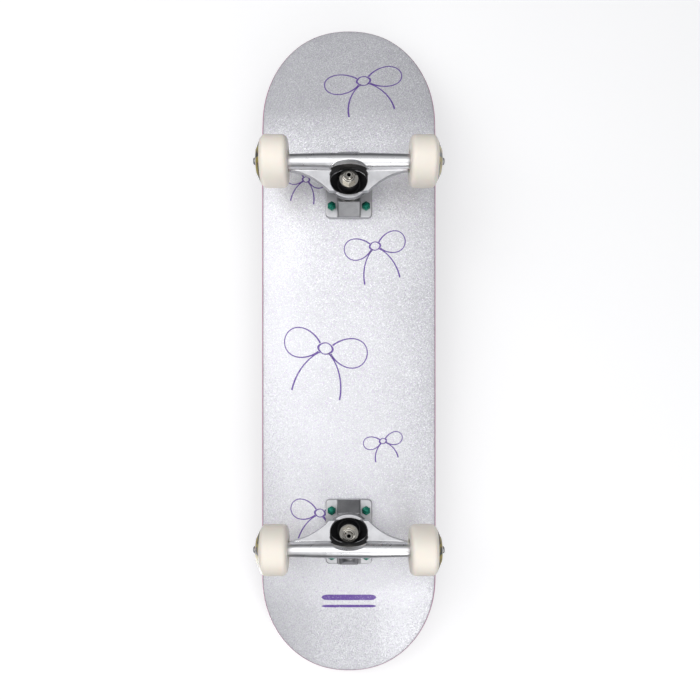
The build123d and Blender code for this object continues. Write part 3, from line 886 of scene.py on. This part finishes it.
class SKATE_OT_artwork(bpy.types.Operator):
    """Draw the ribbon bows and the plain stripes on the underside"""

    bl_idname = "skate.artwork"
    bl_label = "Artwork"

    def execute(self, context):
        ink = ink_material()
        for number, bow in enumerate(BOWS, start=1):
            lay_ink(f"bow_{number}", bow_strokes(bow), ink)
        for number, stripe in enumerate(STRIPES, start=1):
            lay_ink(f"stripe_{number}", [stripe_stroke(*stripe)], ink)
        return {"FINISHED"}


class SKATE_OT_grip(bpy.types.Operator):
    """Finish the grip tape on top of the deck"""

    bl_idname = "skate.grip"
    bl_label = "Grip tape"

    def execute(self, context):
        repaint("grip_tape", grit_material())
        return {"FINISHED"}


# ---------------------------------------------------------------- trucks
def cast_material():
    """Tumbled cast aluminium, with painted shade: near-black in the bushing pocket and dark in creases."""
    truck = settings("truck")
    paint = Paint("tumbled aluminium casting")
    spot = paint.place()
    pocket = paint.attribute("pocket")
    cloud = paint.noise(spot, 0.09, 4.0)
    grain = paint.noise(spot, 1.3, 3.0)
    crease, polish = paint.attribute("crease"), paint.attribute("polish")
    body = paint.mix(cloud.ramp(0.3, 0.7), toned(truck.casting, 0.82), toned(truck.casting))
    # painted shade: creases, the plate's foot and its block darkened towards near-black
    crease_shaded = paint.mix(crease * (0.55 + 0.4 * grain), body, (0.05, 0.05, 0.055))
    # painted shade: the bushing pocket and the opening through the hanger are painted near-black, less
    # metallic and rougher
    colour_now = paint.mix(pocket, crease_shaded, (0.012, 0.012, 0.013))
    brushed = paint.noise(paint.stretch(spot, (3.0, 0.1, 0.1)), 1.0, 3.0)
    rough = (0.34 - 0.12 * polish + 0.14 * cloud) * (1 - pocket) + 0.5 * pocket
    bright = paint.mix(polish * (0.75 + 0.25 * brushed), colour_now, toned(truck.barrel))
    height = grain * (1 - polish) + 0.25 * brushed
    return paint.shade(Base_Color=bright, Metallic=0.95 - 0.75 * pocket, Roughness=rough,
                       Normal=paint.bump(height, 0.05 * MM))


def metal_material(name, tone, rough, speck=0.08, metallic=1.0, coat=0.0):
    """Plated or anodised steel with faint handling marks."""
    paint = Paint(name)
    spot = paint.place()
    cloud = paint.noise(spot, 0.35, 4.0)
    grain = paint.noise(spot, 4.0, 2.0)
    body = paint.mix(cloud.ramp(0.25, 0.8), toned(tone, 0.8), toned(tone))
    return paint.shade(Base_Color=body, Metallic=metallic, Roughness=rough + speck * 2 * cloud,
                       Coat_Weight=coat, Normal=paint.bump(grain, 0.003 * MM))


def urethane_material(name, tone, rough=0.4):
    """Cast urethane with a faint skin texture."""
    paint = Paint(name)
    spot = paint.place()
    cloud = paint.noise(spot, 0.25, 4.0)
    grain = paint.noise(spot, 2.2, 3.0)
    body = paint.mix(cloud, toned(tone, 0.85), toned(tone, 1.25))
    return paint.shade(Base_Color=body, Roughness=rough + 0.2 * cloud,
                       Normal=paint.bump(grain, 0.02 * MM))


def softened_casting(name, node, voxel, passes, carved=()):
    """A CAD casting with its edges eased the way a tumbled sand casting's are."""
    mesh = frame["nodes"][node].data.copy()
    work = opened(mesh)
    bmesh.ops.remove_doubles(work, verts=work.verts, dist=WELD)
    obj = bpy.data.objects.new(name, closed(work, mesh))
    bpy.context.scene.collection.objects.link(obj)
    if carved:
        carve(obj, carved)
    remesh = obj.modifiers.new("voxels", "REMESH")
    remesh.mode = "VOXEL"
    remesh.voxel_size = voxel
    smooth = obj.modifiers.new("ease", "SMOOTH")
    smooth.factor = 0.5
    smooth.iterations = passes
    apply_modifiers(obj).materials.clear()
    return obj


BOWL_BLUNTNESS = 2.05
# distance from the deck, middle, half width, outward end and inward end, from the truck's bolts
BOWL = (
    (44.5, -8.0, 18.8, 4.0, -23.0),
    (52.0, -3.5, 20.9, 5.7, -24.0),
    (59.4, -1.5, 21.3, 6.1, -24.5),
    (67.0, -0.8, 21.8, 11.8, -24.8),
)


def bowl_at(depth):
    """The opening's middle, half width, outward end and inward end at a distance from the deck."""
    for low, high in zip(BOWL, BOWL[1:]):
        if depth <= high[0] or high is BOWL[-1]:
            t = min(max((depth - low[0]) / (high[0] - low[0]), 0), 1)
            return [a + (b - a) * t for a, b in zip(low[1:], high[1:])]


def bowl_ring(end, depth, steps=72):
    """One ring of the broad opening through the hanger."""
    centre, wide, outward, inward = bowl_at(depth)
    ring = []
    for k in range(steps):
        angle = 2 * pi * k / steps
        rise = sin(angle)
        reach = outward - centre if rise > 0 else centre - inward
        blunt = 2 / BOWL_BLUNTNESS
        x = wide * abs(cos(angle)) ** blunt * (1 if cos(angle) > 0 else -1)
        y = centre + reach * abs(rise) ** blunt * (1 if rise > 0 else -1)
        ring.append((x * MM, PATTERN[end] + OUTWARD[end] * y * MM, UNDERSIDE - depth * MM))
    return ring


def bowl_cutter(end):
    """The closed shape that opens the hanger from the bushings out through the barrel."""
    depths = [station[0] for station in BOWL]
    vertices, faces = stitch([bowl_ring(end, depth) for depth in depths])
    count = len(vertices) // len(depths)
    faces += [tuple(range(count)), tuple(range(len(vertices) - count, len(vertices)))]
    return vertices, faces, 0


def in_bowl(end, spot, grow=1.04):
    """Whether a point lies on the opening's wall or inside it, short of the scallop."""
    depth = (UNDERSIDE - spot.z) / MM
    if not BOWL[0][0] < depth < BOWL[2][0]:
        return False
    centre, wide, outward, inward = bowl_at(depth)
    run = (spot.y - PATTERN[end]) * OUTWARD[end] / MM - centre
    reach = outward - centre if run > 0 else centre - inward
    across = abs(spot.x / MM / wide)
    return across ** BOWL_BLUNTNESS + abs(run / reach) ** BOWL_BLUNTNESS < grow ** BOWL_BLUNTNESS


def pocket_painted_shade(end):
    """How far a point of the hanger lies inside the bushing pocket, where the casting is painted
    near-black as shade.
    """
    truck = settings("truck")
    start, axis = kingpin_line(end)
    along_board = (Vector((0, 1, 0)) - axis * axis.y).normalized()
    # painted shade: share of near-black paint in the opening through the hanger; the pocket's share fades
    # out at its rim
    bowl_share, lowest, highest = 0.93, -0.12, 0.97
    grown, fade = 1.10, 0.04

    def shade_at(spot):
        if in_bowl(end, spot):
            return bowl_share
        offset = spot - start
        depth = (offset.dot(axis) - truck.pocket_floor) / truck.pocket_depth
        if not lowest < depth < highest:
            return 0
        run = offset.dot(along_board) * OUTWARD[end]
        rim = truck.pocket_outer if run > 0 else truck.pocket_inner
        wide = truck.pocket_foot + (truck.pocket_half_width - truck.pocket_foot) * depth
        long = truck.pocket_foot + (rim - truck.pocket_foot) * depth
        return min(max((grown - hypot(offset.x / wide, run / long)) / fade, 0), 1)

    return shade_at


def barrel_polish(end):
    """How far a point of the hanger belongs to the polished barrel."""
    truck = settings("truck")
    axle = middle(f"{end}_axle")
    margin, fade = 0.9 * MM, 0.8 * MM

    def shade_at(spot):
        if in_bowl(end, spot):
            return 0
        across = hypot(spot.y - axle.y, spot.z - axle.z)
        return min(max((truck.barrel_radius + margin - across) / fade, 0), 1)

    return shade_at


def near_line(distance, reach):
    """One on a line, falling to nought at a reach from it."""
    return max(1 - abs(distance) / reach, 0)


def plate_painted_shade():
    """Painted shade on a base plate: dark beside its block and round its foot, and darker over the block
    below the pads.
    """
    truck = settings("truck")
    pad = UNDERSIDE - truck.pad_thickness

    def shade_at(spot):
        beside = near_line(abs(spot.x) - truck.block_half - 0.3 * MM, 1.7 * MM)
        on_pad = near_line(spot.z - pad, 1.6 * MM)
        foot = near_line(spot.z - UNDERSIDE, 2.2 * MM)
        # painted shade: the kingpin block below the pads is darkened as if in shadow
        block = 0.60 if abs(spot.x) < truck.block_half and spot.z < pad - 1.2 * MM else 0
        return max(beside * on_pad, 0.9 * foot, block)

    return shade_at


def ring_painted_shade(end):
    """Painted shade on a hanger: dark in the step round its bushing ring."""
    truck = settings("truck")
    start, axis = kingpin_line(end)
    inner, outer = 18.5 * MM, 24.2 * MM

    def shade_at(spot):
        height = (spot - start).dot(axis) - truck.pocket_floor
        radial = ((spot - start) - axis * (spot - start).dot(axis)).length
        step = near_line(height - truck.ring_step, 0.9 * MM)
        return step if inner < radial < outer else 0

    return shade_at


def nowhere(spot):
    """No share of a finish at any point."""
    return 0


def finish_casting(obj, material, **shares):
    """Give a casting its material and, for each named share, how much of it each point takes."""
    obj.data.materials.append(material)
    obj.data.shade_smooth()
    for name, value_at in shares.items():
        store(obj, name, value_at)


class SKATE_OT_castings(bpy.types.Operator):
    """Ease the base plates and hangers into tumbled castings"""

    bl_idname = "skate.castings"
    bl_label = "Truck castings"

    def execute(self, context):
        truck = settings("truck")
        cast = cast_material()
        for end in ENDS:
            plate = softened_casting(f"{end}_baseplate_casting", f"{end}_baseplate", truck.voxel, 4)
            finish_casting(plate, cast, pocket=nowhere, crease=plate_painted_shade(), polish=nowhere)
            seat_piece(plate, BOARD, "cast_aluminium", f"{end}_baseplate")
            hanger = softened_casting(f"{end}_hanger_casting", f"{end}_hanger", truck.voxel, 5,
                                      [bowl_cutter(end)])
            finish_casting(hanger, cast, pocket=pocket_painted_shade(end), crease=ring_painted_shade(end),
                           polish=barrel_polish(end))
            seat_piece(hanger, hanger_body(end), "cast_aluminium", f"{end}_hanger")
        return {"FINISHED"}


def bushing_profile(low, high, foot, head, crown, steps=10):
    """A turned bushing with rounded rims and a slightly crowned side."""
    bore = settings("truck").bushing_bore
    outer = []
    for k in range(steps + 1):
        t = k / steps
        rim = 0.9 * MM * (abs(2 * t - 1) ** 10)
        outer.append((foot + (head - foot) * t + crown * sin(pi * t) - rim, low + (high - low) * t))
    inner = [(bore, low + (high - low) * k / steps) for k in range(steps, -1, -1)]
    return outer + inner


def seat_bushing(end, side, low, high, head, crown, material):
    """A bushing between two distances along the kingpin."""
    start, axis = kingpin_line(end)
    profile = bushing_profile(low, high, settings("truck").bushing_radius, head, crown)
    bushing = lathe(f"{end}_{side}_side_bushing", profile, start, axis, (material,), 96, 0)
    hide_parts(f"{end}_{side}_bushing")
    start + axis * low
    start + axis * high
    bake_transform(bushing)


def cross_recess(spot, across=6.2 * MM, wide=1.35 * MM, deep=1.9 * MM):
    """Two crossed tapering blades that cut the driver's recess into a bolt head."""
    parts = []
    for turned_by in (0, 1):
        vertices = []
        for level, share in ((spot.z + 0.3 * MM, 1.0), (spot.z - deep, 0.45)):
            for u, v in ((-1, -1), (1, -1), (1, 1), (-1, 1)):
                x, y = u * across / 2 * share, v * wide / 2 * (0.6 + 0.4 * share)
                offset = (y, x) if turned_by else (x, y)
                vertices.append((spot.x + offset[0], spot.y + offset[1], level))
        sides = [(k, (k + 1) % 4, 4 + (k + 1) % 4, 4 + k) for k in range(4)]
        parts.append((vertices, [(0, 1, 2, 3), (4, 5, 6, 7)] + sides, 0))
    return parts


class SKATE_OT_kingpins(bpy.types.Operator):
    """Build the kingpins, their washers, nuts and bushings"""

    bl_idname = "skate.kingpins"
    bl_label = "Kingpins and bushings"

    def execute(self, context):
        truck = settings("truck")
        nickel = metal_material("nickel plate", truck.nickel, 0.07, 0.03)
        rubber = urethane_material("black bushing urethane", truck.urethane, 0.32)
        for end in ENDS:
            body = hanger_body(end)
            for name in ("board_washer", "kingpin", "road_washer"):
                repaint(f"{end}_{name}", nickel)
            repaint(f"{end}_pivot_cup", rubber)
            sizes = (truck.kingpin_flats, truck.kingpin_nut_height,
                     truck.kingpin_flats / 2 - 0.5 * MM, truck.kingpin_lock)
            nut = lock_nut(f"{end}_kingpin_lock_nut", f"{end}_kingpin_nut", kingpin_line(end)[1], sizes,
                           truck.kingpin_radius, nickel)
            seat_piece(nut, BOARD, "nickel_steel", f"{end}_kingpin_nut")
            low, high = truck.washer_half, truck.washer_half + truck.board_bushing
            seat_bushing(end, "board", low, high, truck.bushing_radius, 0.35 * MM, rubber)
            low, high = truck.pocket_floor, truck.pocket_floor + truck.road_bushing
            seat_bushing(end, "road", low, high, truck.bushing_head, 0.15 * MM, rubber)
        return {"FINISHED"}


class SKATE_OT_hardware(bpy.types.Operator):
    """Build the countersunk mounting bolts and their locking nuts"""

    bl_idname = "skate.hardware"
    bl_label = "Mounting hardware"

    def execute(self, context):
        truck = settings("truck")
        green = metal_material("green anodised steel", truck.green, 0.2, metallic=0.85, coat=0.3)
        for end in ENDS:
            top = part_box(f"{end}_mounting_bolts")[1].z
            shank = truck.bolt_radius
            head_profile = [(0, 0), (BOLT_HEAD, 0, 0.25 * MM), (shank, truck.bolt_head, 0.3 * MM),
                            (shank, truck.bolt_length, 0.5 * MM), (0, truck.bolt_length)]
            shanks, recesses = [], []
            for bolt in bolt_places(end):
                head = Vector((bolt.x, bolt.y, top))
                shanks.append((*turned(softened(head_profile, 0), head, (0, 0, -1), 48), 0))
                recesses += cross_recess(head)
            bolts = join(f"{end}_cross_head_bolts", shanks, (green,))
            carve(bolts, recesses)
            seat_piece(bolts, BOARD, "green_hardware", f"{end}_mounting_bolts")
            profile = softened(nut_profile(truck.nut_flats, truck.nut_height, truck.nut_collar,
                                           truck.nut_lock, truck.bolt_radius), 0.15 * MM)
            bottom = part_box(f"{end}_mounting_nuts")[1].z
            parts = []
            for bolt in bolt_places(end):
                nut = turned(profile, (bolt.x, bolt.y, bottom), (0, 0, -1), 72, hexagon(truck.nut_flats))
                parts.append((*nut, 0))
            nuts = join(f"{end}_lock_nuts", parts, (green,))
            seat_piece(nuts, BOARD, "green_hardware", f"{end}_mounting_nuts")
        return {"FINISHED"}


# ---------------------------------------------------------------- wheels
def wheel_profile():
    """The section of one wheel: bearing seats, outer cone, lip, tread and rounded back."""
    wheel = settings("wheel")
    radius, half = wheel.radius, wheel.width / 2
    face_rim, face_drop = wheel.hub + 1.6 * MM, 1.1 * MM
    back_rim, back_drop = wheel.hub + 2.6 * MM, 0.7 * MM
    tread_round, back_round = 3.4 * MM, 8.0 * MM
    bore = [(wheel.seat, wheel.gap / 2), (wheel.seat, wheel.gap / 2 + wheel.bearing_width),
            (wheel.mouth, half)]
    outer = [(wheel.hub, half, 0.5 * MM), (face_rim, half - face_drop, 0.6 * MM),
             (wheel.lip_radius, wheel.lip, 1.2 * MM), (radius, wheel.tread, tread_round)]
    back = [(radius, -half, back_round), (back_rim + 0.8 * MM, -half, 0.8 * MM),
            (back_rim, -half + back_drop, 0.5 * MM), (wheel.hub, -half + 0.2 * MM, 0.5 * MM)]
    stop = [(wheel.stop, -wheel.gap / 2, 0.3 * MM), (wheel.stop, wheel.gap / 2, 0.3 * MM)]
    return stop + bore + outer + back + [(reach, -height) for reach, height in reversed(bore)]


def wheel_material():
    """Cream urethane with an olive ring printed on the outer cone."""
    wheel = settings("wheel")
    paint = Paint("cream urethane")
    spot = paint.place()
    hub = paint.attribute("hub", "Vector")
    down, up, outward = (paint.split(hub, axis) for axis in range(3))
    radius = (down * down + up * up).math("SQRT")
    inner, outer = wheel.print_inner / MM, wheel.print_outer / MM
    band = radius.ramp(inner - 0.3, inner + 0.3) * radius.ramp(outer - 0.3, outer + 0.3, 1, 0)
    ink = band * outward.over(wheel.lip / MM - 1)
    patches = paint.noise(hub, 0.085, 1.0).ramp(0.50, 0.56)
    lines = abs(radius.math("PINGPONG", 1.3) - 0.65).over(0.46) * 0.6
    printed = paint.mix(patches, toned(wheel.print_colour), toned(wheel.print_dark))
    printed = paint.mix(lines, printed, (0.10, 0.085, 0.03))
    cloud = paint.noise(spot, 0.06, 4.0)
    warm = paint.mix(cloud, toned(wheel.cream, 0.965), toned(wheel.cream))
    tread = radius.ramp(wheel.radius / MM - 0.6, wheel.radius / MM - 0.1)
    scuffed = paint.mix(tread * 0.12, warm, (0.80, 0.74, 0.64))
    colour_now = paint.mix(ink, scuffed, printed)
    grain = paint.noise(spot, 1.8, 3.0)
    return paint.shade(Base_Color=colour_now, Roughness=0.34 + 0.12 * cloud + 0.08 * tread,
                       Subsurface_Weight=0.12, Subsurface_Scale=0.004,
                       Normal=paint.bump(grain, 0.02 * MM))


class SKATE_OT_wheels(bpy.types.Operator):
    """Build the cast wheels with their printed faces"""

    bl_idname = "skate.wheels"
    bl_label = "Wheels"

    def execute(self, context):
        cream = wheel_material()
        for end in ENDS:
            for side in SIDES:
                centre, outward = hub_line(end, side)
                name = f"{end}_{side}_wheel"
                obj = lathe(f"{name}_body", wheel_profile(), centre, outward, (cream,), 160)
                hub = obj.data.attributes.new("hub", "FLOAT_VECTOR", "POINT")
                places = []
                for vertex in obj.data.vertices:
                    offset = (vertex.co - centre) / MM
                    places += [offset.y, offset.z, offset.dot(outward)]
                hub.data.foreach_set("vector", places)
                seat_piece(obj, f"{name}_group", "cream_urethane", name)
        return {"FINISHED"}


class SKATE_OT_bearings(bpy.types.Operator):
    """Finish the bearings, speed rings, axles and axle nuts"""

    bl_idname = "skate.bearings"
    bl_label = "Bearings and axles"

    def execute(self, context):
        wheel, truck = settings("wheel"), settings("truck")
        steel = metal_material("bearing steel", wheel.steel, 0.16)
        zinc = metal_material("zinc plate", truck.zinc, 0.25)
        shield = urethane_material("bearing shield", wheel.shield, 0.4)
        sizes = (wheel.nut_flats, wheel.nut_height, wheel.nut_collar, wheel.nut_lock)
        for end in ENDS:
            repaint(f"{end}_axle", zinc)
            for side in SIDES:
                for part in ("inner_races", "outer_races", "balls", "speed_rings"):
                    repaint(f"{end}_{side}_{part}", steel)
                repaint(f"{end}_{side}_shields", shield)
                node = f"{end}_{side}_axle_nut"
                outward = hub_line(end, side)[1]
                nut = lock_nut(f"{end}_{side}_lock_nut", node, outward, sizes, wheel.axle_radius, zinc)
                seat_piece(nut, frame_body(node), "axle_steel", node)
        return {"FINISHED"}


# ---------------------------------------------------------------- stage
def paper_material(shows_above):
    """Plain pale paper that shows from one side only."""
    stage = settings("stage")
    paint = Paint("paper above" if shows_above else "paper below")
    behind = paint.node("ShaderNodeNewGeometry", None, None, "Backfacing")
    mottle = paint.noise(paint.place(), 0.004, 2.0)
    share = stage.shade_share
    tone = paint.mix(mottle, toned(stage.paper, share * 0.985), toned(stage.paper, share))
    sheet = paint.node("ShaderNodeBsdfDiffuse", None, {"Color": tone})
    strength = stage.floor_glow if shows_above else stage.glow
    glow = paint.node("ShaderNodeEmission", None, {"Color": toned(stage.paper), "Strength": strength})
    lit = paint.node("ShaderNodeAddShader", None, [sheet, glow])
    clear = paint.node("ShaderNodeBsdfTransparent")
    paint.finish(paint.node("ShaderNodeMixShader", None, [behind, lit, clear]))
    return paint.material


def paper_sheet(name, half, height_at, facing_up):
    """A large one-sided sheet under or over the board."""
    corners = [(-half, -half), (half, -half), (half, half), (-half, half)]
    if not facing_up:
        corners.reverse()
    mesh = raw_mesh(name, [(x, y, height_at(x, y)) for x, y in corners], [(0, 1, 2, 3)])
    mesh.materials.append(paper_material(facing_up))
    obj = bpy.data.objects.new(name, mesh)
    bpy.context.scene.collection.objects.link(obj)
    obj.visible_shadow = False
    obj.visible_diffuse = False
    obj.visible_glossy = False
    obj.visible_transmission = False


def soft_light(name, place, target, width, power):
    """A square soft box aimed at a point."""
    data = bpy.data.lights.new(name, "AREA")
    data.shape = "SQUARE"
    data.size = width
    data.energy = power
    lamp = bpy.data.objects.new(name, data)
    bpy.context.scene.collection.objects.link(lamp)
    lamp.location = place
    lamp.rotation_mode = "QUATERNION"
    lamp.rotation_quaternion = (Vector(target) - Vector(place)).to_track_quat("-Z", "Y")
    lamp.visible_camera = False


def studio_world():
    """A pale room that is brighter above and below than at the horizon."""
    world = bpy.data.worlds.new("studio")
    world.use_nodes = True
    room = Paint.of(world.node_tree)
    direction = room.node("ShaderNodeTexCoord", out="Generated")
    steepness = abs(room.split(direction, "Z"))
    tone = room.mix(steepness.ramp(0.15, 0.85), (0.05, 0.052, 0.058), (0.56, 0.565, 0.58))
    seen = room.node("ShaderNodeLightPath", out="Is Camera Ray")
    tone = room.mix(seen, tone, toned(settings("stage").paper))
    glow = room.node("ShaderNodeBackground", None, {"Color": tone, "Strength": 1.0})
    room.finish(glow, "ShaderNodeOutputWorld")
    return world


# name, place, target, width and power
LIGHTS = (
    ("key_below", (0.75, 0.35, -0.85), (0, 0, 0.05), 0.9, 5.2),
    ("fill_below", (-0.5, -1.25, -0.75), (0, -0.25, 0.05), 0.9, 6.5),
    ("broad_below", (0, -0.0715, -1.6), (0, -0.0715, 0.05), 1.6, 8),
    ("key_above", (0.9, -0.9, 1.3), (0, 0, 0.05), 0.8, 9),
    ("fill_above", (-1.1, 0.6, 1.2), (0, 0, 0.05), 1.2, 5),
)


class SKATE_OT_stage(bpy.types.Operator):
    """Set the camera under the board, the paper round it and the soft lights"""

    bl_idname = "skate.stage"
    bl_label = "Stage"

    def execute(self, context):
        stage = settings("stage")
        low, high = CAD_BOX
        lens = bpy.data.cameras.new("camera")
        lens.lens = stage.focal
        lens.shift_x, lens.shift_y = stage.shift_x, stage.shift_y
        lens.clip_start, lens.clip_end = 0.01, 50
        camera = bpy.data.objects.new("camera", lens)
        context.scene.collection.objects.link(camera)
        camera.location = (0, stage.camera_y, UNDERSIDE - stage.distance)
        camera.rotation_euler = (0, pi, 0)
        context.scene.camera = camera

        tilt, clearance = 0.05, 0.019
        paper_sheet("floor", 6.0, lambda x, y: low.z, True)
        paper_sheet("backdrop", 3.0, lambda x, y: high.z + clearance - tilt * x + tilt * y, False)
        for light in LIGHTS:
            soft_light(*light)

        context.scene.world = studio_world()
        context.scene.view_settings.view_transform = "Standard"
        return {"FINISHED"}


OPERATORS = (
    SKATE_OT_stage, SKATE_OT_deck, SKATE_OT_artwork, SKATE_OT_grip, SKATE_OT_castings, SKATE_OT_kingpins,
    SKATE_OT_hardware, SKATE_OT_wheels, SKATE_OT_bearings,
)


class SKATE_PT_pieces(bpy.types.Panel):
    """The pieces of the board, in the sidebar"""

    bl_idname = "SKATE_PT_pieces"
    bl_label = "Skateboard"
    bl_space_type = "VIEW_3D"
    bl_region_type = "UI"
    bl_category = "Skateboard"

    def draw(self, context):
        for operator in OPERATORS:
            self.layout.operator(operator.bl_idname)


def register():
    """Register the settings, the operators and the panel."""
    for name, group in GROUPS.items():
        bpy.utils.register_class(group)
        setattr(bpy.types.Scene, f"skate_{name}", bpy.props.PointerProperty(type=group))
    for operator in OPERATORS:
        bpy.utils.register_class(operator)
    bpy.utils.register_class(SKATE_PT_pieces)


def unregister():
    """Undo register."""
    bpy.utils.unregister_class(SKATE_PT_pieces)
    for operator in reversed(OPERATORS):
        bpy.utils.unregister_class(operator)
    for name, group in GROUPS.items():
        delattr(bpy.types.Scene, f"skate_{name}")
        bpy.utils.unregister_class(group)


def main():
    """Build every piece."""
    register()
    for operator in OPERATORS:
        group, name = operator.bl_idname.split(".")
        getattr(getattr(bpy.ops, group), name)()


if __name__ == "__main__":
    main()
